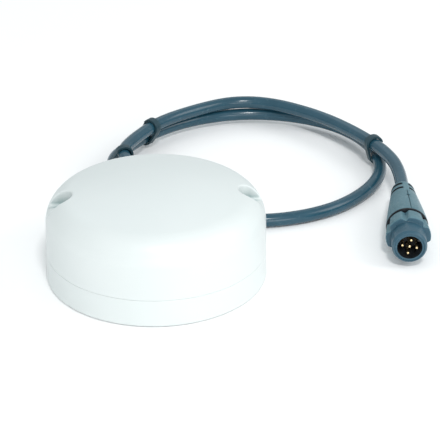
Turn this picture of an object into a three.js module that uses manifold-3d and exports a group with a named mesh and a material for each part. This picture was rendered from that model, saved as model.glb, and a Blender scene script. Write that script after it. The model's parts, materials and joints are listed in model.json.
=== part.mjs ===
// A round GNSS receiver with a looped data cable that ends in a five-pin M12 plug.
// Millimetres, +Z up. The origin is the centre of the housing's underside. The two screw pockets
// lie on the X axis, and the cable leaves the housing along +Y.

import * as THREE from 'three';
import { mergeVertices } from 'three/addons/utils/BufferGeometryUtils.js';
import Module from 'manifold-3d';

// Housing outline
const BASE_RADIUS = 37.4;
const HEIGHT = 33.2;
const WALL_DRAFT = THREE.MathUtils.degToRad(1.27);
const SHOULDER_RADIUS = 10;
const DOME_RADIUS = 134.4;
const SEAM_Z = 9.4;
const SEAM_GAP = 0.3;
const WALL = 2.5;
const FLOOR = 2.2;
const ROUND_SIDES = 48;
const GAP = 0.3;

// Screw pockets and the holes under them
const SCREW_PITCH = 64;
const POCKET_HALF_WIDTH = 4.2;
const POCKET_FLOOR_Z = 24;
const POCKET_WALL = 2;
const SCREW_HOLE_RADIUS = 2.2;
const SCREW_X = SCREW_PITCH / 2;

// The rim that the cover slides over, and the seal's groove. Both run round the screw columns.
const RIM_OUTER = 33.9;
const RIM_WIDTH = 1.4;
const RIM_TOP_Z = 11.6;
const RIM_COLUMN_HALF = 6.7;
const SEAL_RADIUS = 35.45;
const SEAL_COLUMN_HALF = 5.25;
const SEAL_WIDTH = 0.7;
const SEAL_DEPTH = 1.1;

// Case screws come up from below, board screws go down into posts
const CASE_SCREW = { reach: 26, angles: [45, 135, 225, 315], head: 2.3, headHeight: 1.5, shank: 1.2, top: 17 };
const CASE_BOSS_RADIUS = 2.9;
const CASE_FOOT_RADIUS = 3.2;
const BOARD_SCREW = { reach: 21, angles: [30, 150, 270], head: 2.3, headHeight: 1.6, shank: 1.2, bottom: 9 };
const POST_RADIUS = 2.8;

// Foam pad under the base
const PAD_RADIUS = 28.6;
const PAD_RECESS = 0.6;

// Circuit board and what it carries
const BOARD_RADIUS = 31.2;
const BOARD_COLUMN_HALF = 8.8;
const BOARD_Z = 15.6;
const BOARD_THICKNESS = 1.6;
const BOARD_TOP = BOARD_Z + BOARD_THICKNESS;
const PATCH_SIDE = 25;
const PATCH_HEIGHT = 4;
const FEED = { x: 1.8, y: 0, radius: 0.5, clear: 0.85 };

// Cable and its exit
const CABLE_RADIUS = 2.42;
const EXIT_Z = 5;
const EXIT_HOLE_RADIUS = 3.3;
const BOOT_END_Y = 50.4;
const CORE_RADIUS = 0.45;

// The cable's centreline from the boot to the plug: one turn on the ground, then half a turn on top
const ROUTE = [
  [0, 50.8, 5], [-1.4, 57.5, 4.1], [-5.6, 63.1, 3], [-10.6, 68.3, 3.5], [-13.5, 75.1, 4],
  [-13, 82.4, 4.1], [-9.5, 88.8, 4.1], [-4.7, 95.8, 4.1], [0.8, 102.1, 4.1], [10.9, 111.1, 3.9],
  [23, 117.4, 3.8], [38, 120.8, 3.7], [54, 118.9, 3.7], [70.5, 110.7, 3.8], [82.2, 96.4, 4],
  [87.2, 80, 4.1], [87, 65.5, 3], [79.7, 51, 2.5], [66.4, 37.8, 2.45], [50, 30.9, 2.45],
  [34, 30, 2.45], [22.4, 35, 2.8], [15, 42.6, 4.2], [9.8, 50, 6], [4.3, 56.6, 7.7],
  [-2.2, 61.6, 8.5], [-7.2, 66.9, 8.9], [-9.5, 73.5, 9.2], [-8.8, 80.2, 9.2], [-5.6, 87, 9.2],
  [-1.5, 93.8, 9.2], [3.7, 101, 9.2], [11.1, 108.1, 9], [21.8, 115, 9], [35, 120.8, 9],
  [49, 119, 9], [61.4, 111.3, 8.8], [72, 100.8, 8.8], [80.8, 87.4, 9], [87.1, 74.5, 9.2],
  [91.2, 62, 8.9], [91.8, 50, 8.2], [90.95, 39.6, 8],
];
const ROUTE_STEPS = 72;
const CABLE_SIDES = 12;

// Cable ties: where each one holds the two strands
const TIES = [
  { name: 'cable_tie_back', centre: [1.1, 99.4] },
  { name: 'cable_tie_left', centre: [-11.4, 74.2] },
  { name: 'cable_tie_right', centre: [87, 77.4] },
];
const TIE_REACH = 4;
const TIE_CLEARANCE = 0.6;
const TIE_THICKNESS = 0.8;
const TIE_WIDTH = 3;

// Plug: its nose points away from the cable, and stations are counted back from the nose
const NOSE = new THREE.Vector3(85.92, -4.7, 8);
const CABLE_ENTRY = new THREE.Vector3(91.6, 45.5, 8);
const PLUG_ROLL = THREE.MathUtils.degToRad(-10);
const SHROUD = {
  outer: 4.75, bore: 4.22, front: 0.15, floor: 9, collar: 5.8, collarFront: 12.5, collarBack: 14.1, back: 20,
};
const NUT = {
  bore: 5.05, nose: 5.37, barrel: 6.05, chamfer: 1.1, gripFront: 7.5, gripBack: 14.4, grip: 7.85, gripTail: 7.2,
  lip: 6.1, lipFront: 12.2,
};
const NUT_NOTCHES = { count: 6, phase: 40, radius: 1.5, centre: 8.25 };
const CARRIER = { radius: 3.9, front: 8, back: 19 };
const PINS = { circle: 2.5, radius: 0.5, front: 0.6, back: 20.5, clear: 0.8 };
const BODY_OUTLINE = [
  [15.4, 7.4], [19.6, 7.05], [24, 6.5], [28.2, 5.95], [32.5, 5.4], [37, 4.85], [40.5, 4.4], [43.5, 3.9], [44.3, 3.1],
];
const BODY_CAVITY = { radius: 5.05, depth: 21 };

const wasm = await Module();
wasm.setup();

// A closed geometry with shared vertices, no collapsed triangles and its faces pointing out
function closed(geometry) {
  const bare = geometry.clone();
  for (const name of Object.keys(bare.attributes)) {
    if (name !== 'position') bare.deleteAttribute(name);
  }
  const merged = mergeVertices(bare, 1e-4);
  const position = merged.attributes.position;
  const corners = [new THREE.Vector3(), new THREE.Vector3(), new THREE.Vector3()];
  const kept = [];
  let volume = 0;
  for (let i = 0; i < merged.index.count; i += 3) {
    const triangle = [0, 1, 2].map((k) => merged.index.getX(i + k));
    if (new Set(triangle).size < 3) continue;
    corners.forEach((corner, k) => corner.fromBufferAttribute(position, triangle[k]));
    volume += corners[0].dot(corners[1].clone().cross(corners[2]));
    kept.push(triangle);
  }
  merged.setIndex(kept.flatMap(([a, b, c]) => (volume < 0 ? [a, c, b] : [a, b, c])));
  return merged;
}

function solid(geometry) {
  const shape = closed(geometry);
  const vertProperties = new Float32Array(shape.attributes.position.array);
  const triVerts = new Uint32Array(shape.index.array);
  return new wasm.Manifold(new wasm.Mesh({ numProp: 3, vertProperties, triVerts }));
}

function geometryOf(manifold) {
  const mesh = manifold.getMesh();
  const geometry = new THREE.BufferGeometry();
  geometry.setAttribute('position', new THREE.BufferAttribute(mesh.vertProperties, 3));
  geometry.setIndex(new THREE.BufferAttribute(mesh.triVerts, 1));
  return geometry;
}

const joined = (first, ...others) => others.reduce((sum, other) => sum.add(other), first);
const cut = (first, ...others) => others.reduce((rest, other) => rest.subtract(other), first);
const polar = (reach, degrees) => {
  const angle = THREE.MathUtils.degToRad(degrees);
  return [reach * Math.cos(angle), reach * Math.sin(angle)];
};

// Basic shapes, all standing along +Z
function revolved(profile, sides = ROUND_SIDES) {
  const points = profile.map(([radius, z]) => new THREE.Vector2(radius, z));
  return new THREE.LatheGeometry(points, sides).rotateX(Math.PI / 2);
}

function rod(radius, low, high, sides = 12) {
  return revolved([[0, low], [radius, low], [radius, high], [0, high]], sides);
}

function block([x, y, z], [width, depth, height]) {
  return new THREE.BoxGeometry(width, depth, height).translate(x, y, z);
}

function upright(shape, low, high, curveSegments = 8) {
  const options = { depth: high - low, bevelEnabled: false, curveSegments };
  return new THREE.ExtrudeGeometry(shape, options).translate(0, 0, low);
}

// Housing: the dome, the shoulder and the drafted wall are tangent to each other
const wallRadius = (z) => BASE_RADIUS - z * Math.tan(WALL_DRAFT);
const domeCentreZ = HEIGHT - DOME_RADIUS;
const shoulder = shoulderCentre();

function shoulderCentre() {
  const slope = Math.tan(WALL_DRAFT);
  const reach = BASE_RADIUS - SHOULDER_RADIUS / Math.cos(WALL_DRAFT);
  const distance = DOME_RADIUS - SHOULDER_RADIUS;
  const half = reach * slope + domeCentreZ;
  const rest = reach ** 2 + domeCentreZ ** 2 - distance ** 2;
  const z = (half + Math.sqrt(half ** 2 - (1 + slope ** 2) * rest)) / (1 + slope ** 2);
  return { radius: reach - slope * z, z };
}

// The shell's outline from the top of the dome down to lowZ, moved inwards by inset
function shellOutline(inset, lowZ, domeSteps = 3, shoulderSteps = 5) {
  const meeting = Math.atan2(shoulder.radius, shoulder.z - domeCentreZ);
  const dome = DOME_RADIUS - inset;
  const bend = SHOULDER_RADIUS - inset;
  const outline = [];
  for (let i = 0; i <= domeSteps; i += 1) {
    const angle = (meeting * i) / domeSteps;
    outline.push([dome * Math.sin(angle), domeCentreZ + dome * Math.cos(angle)]);
  }
  for (let i = 1; i <= shoulderSteps; i += 1) {
    const angle = meeting + ((Math.PI / 2 - WALL_DRAFT - meeting) * i) / shoulderSteps;
    outline.push([shoulder.radius + bend * Math.sin(angle), shoulder.z + bend * Math.cos(angle)]);
  }
  outline.push([wallRadius(lowZ) - inset / Math.cos(WALL_DRAFT), lowZ]);
  return outline;
}

const COVER_LOW = SEAM_Z + SEAM_GAP / 2;
const BASE_TOP = SEAM_Z - SEAM_GAP / 2;

// A slot round each screw, open towards the wall, with a round inner end
function screwSlots(halfWidth, low, high) {
  const far = BASE_RADIUS + 5;
  const shape = new THREE.Shape();
  shape.moveTo(far, -halfWidth);
  shape.lineTo(far, halfWidth);
  shape.lineTo(SCREW_X, halfWidth);
  shape.absarc(SCREW_X, 0, halfWidth, Math.PI / 2, Math.PI * 1.5, false);
  const right = upright(shape, low, high);
  return joined(solid(right), solid(right.clone().rotateZ(Math.PI)));
}

// A disc with the two screw columns left out of it
function columnedDisc(radius, columnHalf, low, high) {
  return cut(solid(rod(radius, low, high, ROUND_SIDES)), screwSlots(columnHalf, low - 1, high + 1));
}

function screwHoles(low, high) {
  const hole = (x) => solid(rod(SCREW_HOLE_RADIUS, low, high).translate(x, 0, 0));
  return joined(hole(SCREW_X), hole(-SCREW_X));
}

function ringOfRods({ reach, angles }, radius, low, high) {
  const rods = angles.map((angle) => solid(rod(radius, low, high).translate(...polar(reach, angle), 0)));
  return joined(...rods);
}

function coverGeometry() {
  const outer = shellOutline(0, COVER_LOW);
  const inner = shellOutline(WALL, COVER_LOW);
  const shell = solid(revolved([...outer, ...inner.reverse()]));
  const envelope = solid(revolved([...outer, [0, COVER_LOW]]));
  const columns = screwSlots(POCKET_HALF_WIDTH + POCKET_WALL, COVER_LOW, HEIGHT);
  const bosses = ringOfRods(CASE_SCREW, CASE_BOSS_RADIUS, COVER_LOW, HEIGHT);
  const full = joined(shell, joined(columns, bosses).intersect(envelope));
  const pilots = ringOfRods(CASE_SCREW, CASE_SCREW.shank + GAP, COVER_LOW - 1, CASE_SCREW.top + GAP);
  const pockets = screwSlots(POCKET_HALF_WIDTH, POCKET_FLOOR_Z, HEIGHT + 1);
  return geometryOf(cut(full, pockets, screwHoles(COVER_LOW - 1, HEIGHT), pilots));
}

function sealBand(width, low, high) {
  const outside = columnedDisc(SEAL_RADIUS + width / 2, SEAL_COLUMN_HALF - width / 2, low, high);
  const inside = columnedDisc(SEAL_RADIUS - width / 2, SEAL_COLUMN_HALF + width / 2, low - 1, high + 1);
  return cut(outside, inside);
}

function baseGeometry() {
  const edge = 0.5;
  const outline = [
    [0, 0], [wallRadius(0) - edge, 0], [wallRadius(edge), edge], [wallRadius(BASE_TOP), BASE_TOP], [0, BASE_TOP],
  ];
  const rim = columnedDisc(RIM_OUTER, RIM_COLUMN_HALF, FLOOR, RIM_TOP_Z);
  const hollow = columnedDisc(RIM_OUTER - RIM_WIDTH, RIM_COLUMN_HALF + RIM_WIDTH, FLOOR, RIM_TOP_Z + 1);
  const posts = ringOfRods(BOARD_SCREW, POST_RADIUS, FLOOR - 0.5, BOARD_Z - GAP);
  const feet = ringOfRods(CASE_SCREW, CASE_FOOT_RADIUS, FLOOR - 0.5, BASE_TOP);
  const full = joined(cut(joined(solid(revolved(outline)), rim), hollow), posts, feet);
  const headTop = PAD_RECESS + GAP + CASE_SCREW.headHeight;
  return geometryOf(cut(
    full,
    solid(rod(PAD_RADIUS + GAP, -1, PAD_RECESS, ROUND_SIDES)),
    sealBand(SEAL_WIDTH + 2 * GAP, BASE_TOP - SEAL_DEPTH, BASE_TOP + 1),
    screwHoles(-1, BASE_TOP + 1),
    ringOfRods(CASE_SCREW, CASE_SCREW.head + GAP, -1, headTop + GAP),
    ringOfRods(CASE_SCREW, CASE_SCREW.shank + GAP, -1, BASE_TOP + 1),
    ringOfRods(BOARD_SCREW, BOARD_SCREW.shank + GAP, BOARD_SCREW.bottom - GAP, BOARD_Z),
    solid(rod(EXIT_HOLE_RADIUS, 0, 10).rotateX(-Math.PI / 2).translate(0, 29, EXIT_Z)),
    solid(block([0, 32.6, EXIT_Z], [8.8, 3.2, 8.2])),
  ));
}

function sealGeometry() {
  return geometryOf(sealBand(SEAL_WIDTH, BASE_TOP - SEAL_DEPTH + GAP, BASE_TOP));
}

function padGeometry() {
  return rod(PAD_RADIUS, 0, PAD_RECESS - GAP, ROUND_SIDES);
}

// A pan-head screw; the shank runs from headZ away from the head
function screwGeometry({ head, headHeight, shank }, length) {
  return revolved([[0, -length], [shank, -length], [shank, 0], [head, 0], [head, headHeight], [0, headHeight]], 10);
}

function boardGeometry() {
  return geometryOf(cut(
    columnedDisc(BOARD_RADIUS, BOARD_COLUMN_HALF, BOARD_Z, BOARD_TOP),
    ringOfRods(CASE_SCREW, CASE_BOSS_RADIUS + 0.6, BOARD_Z - 1, BOARD_TOP + 1),
    ringOfRods(BOARD_SCREW, BOARD_SCREW.shank + GAP, BOARD_Z - 1, BOARD_TOP + 1),
    solid(rod(FEED.clear, BOARD_Z - 1, BOARD_TOP + 1, 12).translate(FEED.x, FEED.y, 0)),
  ));
}

// A square plate round the feed pin
function patchLayer(side, low, high) {
  const plate = block([0, 0, (low + high) / 2], [side, side, high - low]);
  const hole = rod(FEED.clear, low - 1, high + 1, 12).translate(FEED.x, FEED.y, 0);
  return geometryOf(cut(solid(plate), solid(hole)));
}

// A shield can, open towards the board
function canGeometry([x, y], [width, depth, height], low, sheet = 0.4) {
  const outside = block([x, y, low + height / 2], [width, depth, height]);
  const inside = block([x, y, low + sheet + height / 2], [width - 2 * sheet, depth - 2 * sheet, height]);
  return geometryOf(cut(solid(outside), solid(inside)));
}

// A tube of constant section along a curve
function tubeGeometry(curve, radius, sides, steps) {
  const corners = [];
  for (let i = 0; i < sides; i += 1) {
    const angle = (2 * Math.PI * i) / sides;
    corners.push(new THREE.Vector2(radius * Math.cos(angle), radius * Math.sin(angle)));
  }
  return new THREE.ExtrudeGeometry(new THREE.Shape(corners), { steps, bevelEnabled: false, extrudePath: curve });
}

const vector = (point) => new THREE.Vector3(...point);
const curveThrough = (points) => new THREE.CatmullRomCurve3(points.map(vector));

// A cubic curve of even curvature that passes within a tenth of a millimetre of its points. Each
// guide point stands off its route point by a sixth of the bend there.
class SmoothCurve extends THREE.Curve {
  constructor(points) {
    super();
    const places = points.map(vector);
    const inner = places.slice(1, -1).map((place, i) => {
      return place.clone().multiplyScalar(8).sub(places[i]).sub(places[i + 2]).divideScalar(6);
    });
    const [first, last] = [places[0], places[places.length - 1]];
    const beyond = (end, next) => end.clone().multiplyScalar(2).sub(next);
    this.guides = [beyond(first, inner[0]), first, ...inner, last, beyond(last, inner[inner.length - 1])];
  }

  getPoint(t, target = new THREE.Vector3()) {
    const spans = this.guides.length - 3;
    const span = Math.min(Math.floor(t * spans), spans - 1);
    const u = t * spans - span;
    const weights = [(1 - u) ** 3, 3 * u ** 3 - 6 * u ** 2 + 4, -3 * u ** 3 + 3 * u ** 2 + 3 * u + 1, u ** 3];
    target.set(0, 0, 0);
    weights.forEach((weight, k) => target.addScaledVector(this.guides[span + k], weight / 6));
    return target;
  }
}
const routeCurve = new SmoothCurve(ROUTE);

// The boot: a sleeve through the wall with a bead behind it, then a taper with three rings
function bootGeometry() {
  const inside = 31.8;
  const outline = [
    [0, inside], [3.7, inside], [3.7, 33.4], [EXIT_HOLE_RADIUS - GAP, 33.7], [EXIT_HOLE_RADIUS - GAP, 37.7],
    [4.4, 37.7], [4.4, 40.4], [3.4, 40.8], [3.4, 41.8], [4.1, 42.2], [3.9, 44.4], [3.2, 44.8],
    [3.2, 45.8], [3.7, 46.2], [3.3, BOOT_END_Y], [0, BOOT_END_Y],
  ];
  return revolved(outline, 16).rotateX(-Math.PI / 2).translate(0, 0, EXIT_Z);
}

// The outline round two strands at a given distance from their centres
function strandOutline(path, low, high, radius) {
  const turn = Math.atan2(high.y - low.y, high.x - low.x);
  path.absarc(low.x, low.y, radius, turn + Math.PI / 2, turn + Math.PI * 1.5, false);
  path.absarc(high.x, high.y, radius, turn - Math.PI / 2, turn + Math.PI / 2, false);
  path.closePath();
  return path;
}

// The two strands at a tie: the mean way they run, and where they cross the tie's plane, lowest
// first, as places across that way and up
function strandsAt({ centre }) {
  const samples = routeCurve.getPoints(3000).map((p) => ({
    offset: new THREE.Vector2(p.x - centre[0], p.y - centre[1]),
    z: p.z,
  }));
  const along = new THREE.Vector2();
  for (let i = 1; i < samples.length; i += 1) {
    const step = samples[i].offset.clone().sub(samples[i - 1].offset);
    if (samples[i].offset.length() < TIE_REACH) along.add(step);
  }
  along.normalize();
  const across = new THREE.Vector2(-along.y, along.x);
  const strands = [];
  for (let i = 1; i < samples.length; i += 1) {
    const [before, after] = [samples[i - 1].offset, samples[i].offset];
    const crosses = before.dot(along) * after.dot(along) <= 0 && after.length() < TIE_REACH;
    if (crosses) strands.push(new THREE.Vector2(after.dot(across), samples[i].z));
  }
  return { across, strands: strands.sort((a, b) => a.y - b.y) };
}

// A flat band round both strands
function tieMesh(tie) {
  const { across, strands: [low, high] } = strandsAt(tie);
  const inner = CABLE_RADIUS + TIE_CLEARANCE;
  const outer = inner + TIE_THICKNESS;
  const ring = strandOutline(new THREE.Shape(), low, high, outer);
  ring.holes.push(strandOutline(new THREE.Path(), low, high, inner));
  const band = upright(ring, -TIE_WIDTH / 2, TIE_WIDTH / 2);
  const side = new THREE.Vector3(across.x, across.y, 0);
  const up = new THREE.Vector3(0, 0, 1);
  const place = new THREE.Matrix4().makeBasis(side, up, side.clone().cross(up));
  place.setPosition(tie.centre[0], tie.centre[1], 0);
  return band.applyMatrix4(place);
}

// Plug pieces stand along +Z with the nose at zero, so a station lies at minus its number
const stations = (outline) => outline.map(([station, radius]) => [radius, -station]);

function nutGeometry() {
  const { bore, nose, barrel, chamfer, gripFront, gripBack, grip, gripTail, lip, lipFront } = NUT;
  const round = 0.4;
  const outline = [
    [0, bore], [0, nose], [chamfer, barrel], [gripFront, barrel], [gripFront, grip - round],
    [gripFront + round, grip], [gripBack - round, gripTail], [gripBack, gripTail - round], [gripBack, lip],
    [lipFront, lip], [lipFront, bore], [0, bore],
  ];
  const blank = solid(revolved(stations(outline), 36));
  const { count, phase, radius, centre } = NUT_NOTCHES;
  const angles = Array.from({ length: count }, (_, i) => phase + (360 * i) / count);
  const notches = angles.map((angle) => {
    const notch = rod(radius, -gripBack - 1, -gripFront + 0.01);
    return solid(notch.translate(...polar(centre, angle), 0));
  });
  return geometryOf(cut(blank, ...notches));
}

function shroudGeometry() {
  const { outer, bore, front, floor, collar, collarFront, collarBack, back } = SHROUD;
  const inner = CARRIER.radius + GAP;
  const outline = [
    [front, bore], [front, outer], [collarFront, outer], [collarFront, collar], [collarBack, collar],
    [collarBack, outer], [back, outer], [back, inner], [floor, inner], [floor, bore], [front, bore],
  ];
  const tube = solid(revolved(stations(outline), 28));
  const key = block([0, bore - 0.2, -(front + floor) / 2], [1.1, 1.2, floor - front - 1]);
  key.rotateZ(-Math.PI / 4);
  return geometryOf(joined(tube, solid(key)));
}

function pinPlaces() {
  const around = [0, 90, 180, 270].map((angle) => polar(PINS.circle, angle));
  return [...around, [0, 0]];
}

function carrierGeometry() {
  const holes = pinPlaces().map(([x, y]) => {
    return solid(rod(PINS.clear, -CARRIER.back - 1, -CARRIER.front + 1, 12).translate(x, y, 0));
  });
  const keyway = block([0, CARRIER.radius, -CARRIER.front], [2, 1.4, 4]).rotateZ(-Math.PI / 4);
  return geometryOf(cut(solid(rod(CARRIER.radius, -CARRIER.back, -CARRIER.front, 32)), solid(keyway), ...holes));
}

function pinGeometry() {
  const { radius, front, back } = PINS;
  return revolved(stations([[back, 0], [back, radius], [front + 0.4, radius], [front, radius * 0.5], [front, 0]]), 10);
}

function plugBodyGeometry() {
  const last = BODY_OUTLINE[BODY_OUTLINE.length - 1];
  const outline = [
    [BODY_CAVITY.depth, 0], [BODY_CAVITY.depth, BODY_CAVITY.radius], [BODY_OUTLINE[0][0], BODY_CAVITY.radius],
    ...BODY_OUTLINE, [last[0], 0],
  ];
  return revolved(stations(outline), 24);
}

// Materials
function finish(colour, roughness, metalness = 0) {
  return new THREE.MeshStandardMaterial({ color: colour, roughness, metalness });
}
const WHITE_GLOSS = finish(0xf1f5f5, 0.25);
const CABLE_SHEATH = finish(0x4a687c, 0.42);
const PLUG_SHELL = finish(0x64828c, 0.45);
const TIE_NYLON = finish(0x2a3a46, 0.5);
const BLACK_PLASTIC = finish(0x15181a, 0.5);
const SEAL_RUBBER = finish(0x2b2f31, 0.8);
const FOAM = finish(0x3a3d3f, 0.95);
const BOARD = finish(0x1d5a3a, 0.5);
const CERAMIC = finish(0xd8cfc0, 0.55);
const SILVER = finish(0xc9ccce, 0.35, 0.9);
const TIN = finish(0xb4b8ba, 0.4, 0.9);
const STEEL = finish(0x9ea3a6, 0.35, 1);
const GOLD = finish(0xd9b25a, 0.25, 1);
const CORE_COLOURS = [0xb5372f, 0x1c1c1e, 0xe8e6df, 0x2f5fa8, 0x8a8f92];

const receiver = new THREE.Group();

function addPiece(name, geometry, material, parent = receiver) {
  const mesh = new THREE.Mesh(closed(geometry), material);
  mesh.name = name;
  parent.add(mesh);
  return mesh;
}

// Housing
addPiece('radome_cover', coverGeometry(), WHITE_GLOSS);
addPiece('base_housing', baseGeometry(), WHITE_GLOSS);
addPiece('housing_seal', sealGeometry(), SEAL_RUBBER);
addPiece('mounting_pad', padGeometry(), FOAM);
CASE_SCREW.angles.forEach((angle, i) => {
  const headBottom = PAD_RECESS + GAP + CASE_SCREW.headHeight;
  const screw = screwGeometry(CASE_SCREW, CASE_SCREW.top - headBottom).rotateX(Math.PI);
  addPiece(`case_screw_${i + 1}`, screw, STEEL).position.set(...polar(CASE_SCREW.reach, angle), headBottom);
});

// Electronics
addPiece('main_board', boardGeometry(), BOARD);
BOARD_SCREW.angles.forEach((angle, i) => {
  const seat = BOARD_TOP + GAP;
  const screw = screwGeometry(BOARD_SCREW, seat - BOARD_SCREW.bottom);
  addPiece(`board_screw_${i + 1}`, screw, STEEL).position.set(...polar(BOARD_SCREW.reach, angle), seat);
});

const PAD_LOW = BOARD_TOP + GAP;
const PATCH_LOW = PAD_LOW + 0.5 + GAP;
const PATCH_TOP = PATCH_LOW + PATCH_HEIGHT;
addPiece('patch_adhesive_pad', patchLayer(PATCH_SIDE - 1, PAD_LOW, PAD_LOW + 0.5), BLACK_PLASTIC);
addPiece('patch_antenna_ceramic', patchLayer(PATCH_SIDE, PATCH_LOW, PATCH_TOP), CERAMIC);
addPiece('patch_electrode', patchLayer(PATCH_SIDE - 4, PATCH_TOP + GAP, PATCH_TOP + GAP + 0.2), SILVER);
const feedPin = rod(FEED.radius, BOARD_Z, PATCH_TOP + 1.2, 12).translate(FEED.x, FEED.y, 0);
addPiece('patch_feed_pin', feedPin, TIN);

const UNDER_BOARD = BOARD_Z - GAP;
function addChip(name, [x, y], [width, depth, height], material) {
  addPiece(name, block([x, y, UNDER_BOARD - height / 2], [width, depth, height]), material);
}
addPiece('rf_shield_can', canGeometry([1, -4], [17, 13, 2.8], UNDER_BOARD - 2.8), TIN);
addChip('gnss_chip', [1, -4], [9, 9, 1.2], BLACK_PLASTIC);
addChip('microcontroller', [-15, -5], [10, 10, 1.4], BLACK_PLASTIC);
addChip('bus_transceiver', [-9, 9], [5, 4, 1.5], BLACK_PLASTIC);
addChip('clock_crystal', [-15, 3.5], [3.2, 2.5, 1], TIN);
addChip('power_inductor', [14, 3], [6, 6, 3], BLACK_PLASTIC);
[[12, -14], [18.5, -6]].forEach(([x, y], i) => {
  addPiece(`capacitor_${i + 1}`, rod(2.5, UNDER_BOARD - 5.4, UNDER_BOARD, 20).translate(x, y, 0), TIN);
});
addChip('board_header', [0, 10], [12.5, 5, 4.5], BLACK_PLASTIC);
const WIRE_PLUG = { front: 12.8, back: 18.2, z: 13.05 };
const wirePlugMiddle = (WIRE_PLUG.front + WIRE_PLUG.back) / 2;
addPiece('wire_plug_housing', block([0, wirePlugMiddle, WIRE_PLUG.z], [12.5, 5.4, 4]), CERAMIC);

// Five cores from the wire plug down to the end of the sheath
const CABLE_END = { front: 24.8, back: 31.5 };
const CORE_ENDS = [[-1.75, 0], [-0.8, 1.1], [0, -0.4], [0.8, 1.1], [1.75, 0]];
CORE_ENDS.forEach(([x, z], i) => {
  const start = [(i - 2) * 2.2, WIRE_PLUG.back + GAP, WIRE_PLUG.z];
  const end = [x, CABLE_END.front - GAP, EXIT_Z + z];
  const early = [start[0], start[1] + 1.6, start[2] - 0.4];
  const late = [end[0], end[1] - 1.6, end[2] + 0.4];
  const curve = curveThrough([start, early, late, end]);
  addPiece(`core_${i + 1}`, tubeGeometry(curve, CORE_RADIUS, 8, 10), finish(CORE_COLOURS[i], 0.5));
});
const cableEnd = rod(CABLE_RADIUS, CABLE_END.front, CABLE_END.back).rotateX(-Math.PI / 2).translate(0, 0, EXIT_Z);
addPiece('cable_inner_end', cableEnd, CABLE_SHEATH);

// Cable outside the housing
addPiece('strain_relief_boot', bootGeometry(), PLUG_SHELL);
addPiece('cable_jacket', tubeGeometry(routeCurve, CABLE_RADIUS, CABLE_SIDES, ROUTE_STEPS), CABLE_SHEATH);
TIES.forEach((tie) => addPiece(tie.name, tieMesh(tie), TIE_NYLON));

// Plug
const plug = new THREE.Group();
const forward = NOSE.clone().sub(CABLE_ENTRY).normalize();
const plugUp = new THREE.Vector3(0, 0, 1);
const plugSide = plugUp.clone().cross(forward);
plug.matrix.makeBasis(plugSide, plugUp, forward);
plug.quaternion.setFromRotationMatrix(plug.matrix);
plug.position.copy(NOSE);
receiver.add(plug);
const rolled = new THREE.Group();
rolled.rotation.z = PLUG_ROLL;
plug.add(rolled);

addPiece('coupling_nut', nutGeometry(), PLUG_SHELL, plug);
addPiece('plug_body', plugBodyGeometry(), PLUG_SHELL, rolled);
addPiece('keyed_shroud', shroudGeometry(), PLUG_SHELL, rolled);
addPiece('contact_carrier', carrierGeometry(), BLACK_PLASTIC, rolled);
pinPlaces().forEach(([x, y], i) => {
  addPiece(`contact_pin_${i + 1}`, pinGeometry(), GOLD, rolled).position.set(x, y, 0);
});

export default receiver;
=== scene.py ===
import json
import math

import bmesh
import bpy
import numpy as np
from mathutils import Matrix, Vector


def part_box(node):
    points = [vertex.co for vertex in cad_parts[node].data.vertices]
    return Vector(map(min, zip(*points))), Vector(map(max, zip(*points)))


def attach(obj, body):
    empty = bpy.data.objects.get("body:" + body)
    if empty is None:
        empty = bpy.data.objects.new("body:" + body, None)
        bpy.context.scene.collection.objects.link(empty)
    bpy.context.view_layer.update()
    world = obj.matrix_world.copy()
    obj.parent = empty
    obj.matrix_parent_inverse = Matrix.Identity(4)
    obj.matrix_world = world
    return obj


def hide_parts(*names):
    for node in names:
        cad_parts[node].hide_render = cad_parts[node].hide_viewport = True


# A round GNSS receiver with a looped data cable and a five-pin plug, dressed over its CAD frame.
# Shapes are worked out in millimetres, and scaled to metres when they become pieces.
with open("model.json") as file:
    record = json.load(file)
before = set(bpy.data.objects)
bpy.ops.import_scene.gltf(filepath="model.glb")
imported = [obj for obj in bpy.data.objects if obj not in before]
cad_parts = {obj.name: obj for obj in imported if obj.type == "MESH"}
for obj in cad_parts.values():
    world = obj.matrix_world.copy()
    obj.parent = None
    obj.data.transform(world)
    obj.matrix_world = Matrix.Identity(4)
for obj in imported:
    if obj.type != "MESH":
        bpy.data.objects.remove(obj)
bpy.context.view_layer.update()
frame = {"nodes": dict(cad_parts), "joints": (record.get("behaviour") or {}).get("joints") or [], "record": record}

MM = 0.001
HOUSING_BODY = "receiver"
NUT_BODY = "plug_nut"

# Housing outline
BASE_RADIUS = 37.4
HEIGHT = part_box("radome_cover")[1].z / MM
COVER_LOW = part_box("radome_cover")[0].z / MM
SEAM_GAP = 0.05
BASE_TOP = COVER_LOW - SEAM_GAP
DRAFT = math.radians(1.27)
SHOULDER_RADIUS = 10
DOME_RADIUS = 134.4
DOME_CENTRE_Z = HEIGHT - DOME_RADIUS
SKIN = 1.3
SEAM_ROUNDING = 0.14
FOOT_ROUNDING = 0.6
BASE_RING = {"thickness": 0.7, "floor": 1, "overlap": 0.3}
PAD_RECESS_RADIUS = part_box("mounting_pad")[1].x / MM + 0.3

# Screw pockets
SCREW_X = 32
POCKET_HALF_WIDTH = 4.25
POCKET_FLOOR_Z = 23.96
POCKET_RIM_ROUNDING = 0.5
POCKET_FLOOR_ROUNDING = 1.0
POCKET_STEP = 0.3
SCREW_HOLE_RADIUS = 2.2
SCREW_HOLE_FLARE = 0.3

# Rounding the pockets' edges: how near the true surface a point counts as on it, the least cosine
# between a face's normal and the true one for the true one to be used, and how points are moved
ON_SURFACE = 0.02
MIN_AGREEMENT = 0.1
ROUNDING_PASSES = 8
LEAST_SLOPE = 0.2

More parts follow.
